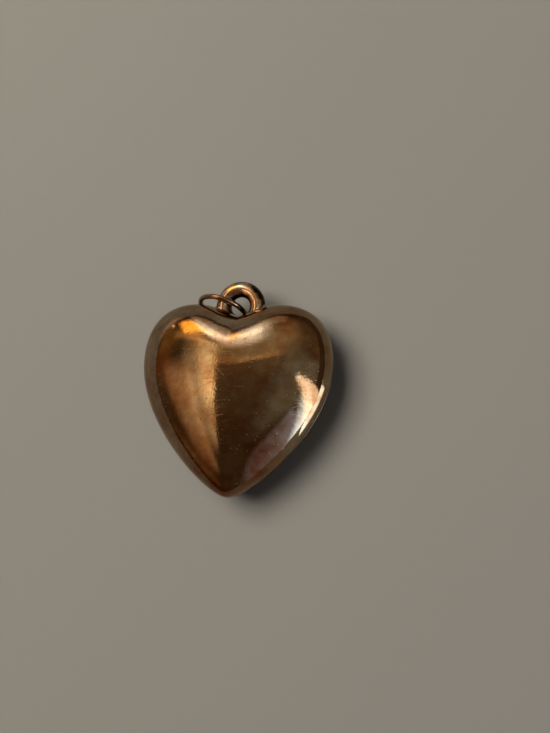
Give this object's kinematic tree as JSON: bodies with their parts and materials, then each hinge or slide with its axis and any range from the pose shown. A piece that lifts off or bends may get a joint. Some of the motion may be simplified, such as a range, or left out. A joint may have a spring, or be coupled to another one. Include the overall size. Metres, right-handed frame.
{
  "type": "bubble heart pendant",
  "caption": "Hollow puffed heart pendant of struck metal half shells soldered rim to rim, with a thick wire bail in the cleft and a loose jump ring on it that takes a chain.",
  "frame": {"origin": "middle of the underside of the box, on the surface that the pendant lies on", "axes": "+X across the lobes, +Y from the tip to the bail, +Z out of the front, with the seam level"},
  "size_m": [0.03, 0.0328, 0.0115],
  "materials": {
    "struck_bronze": "polished, browned with age",
    "seam_solder": "filed flush and polished over",
    "bail_wire": "drawn wire, polished",
    "foot_solder": "run solder, left bright",
    "ring_wire": "drawn wire, dulled"
  },
  "bodies": {
    "heart": {"front_shell": "struck_bronze", "back_shell": "struck_bronze", "seam_solder": "seam_solder", "bail_loop": "bail_wire", "left_foot_solder": "foot_solder", "right_foot_solder": "foot_solder"},
    "jump_ring": {"jump_ring": "ring_wire"}
  },
  "joints": [
    {"name": "jump_ring_travel", "type": "hinge", "parent": "heart", "child": "jump_ring", "pos_m": [0, 0.01252, 0.00575], "axis": [0, 0, 1], "range_deg": [-150, 0]}
  ]
}
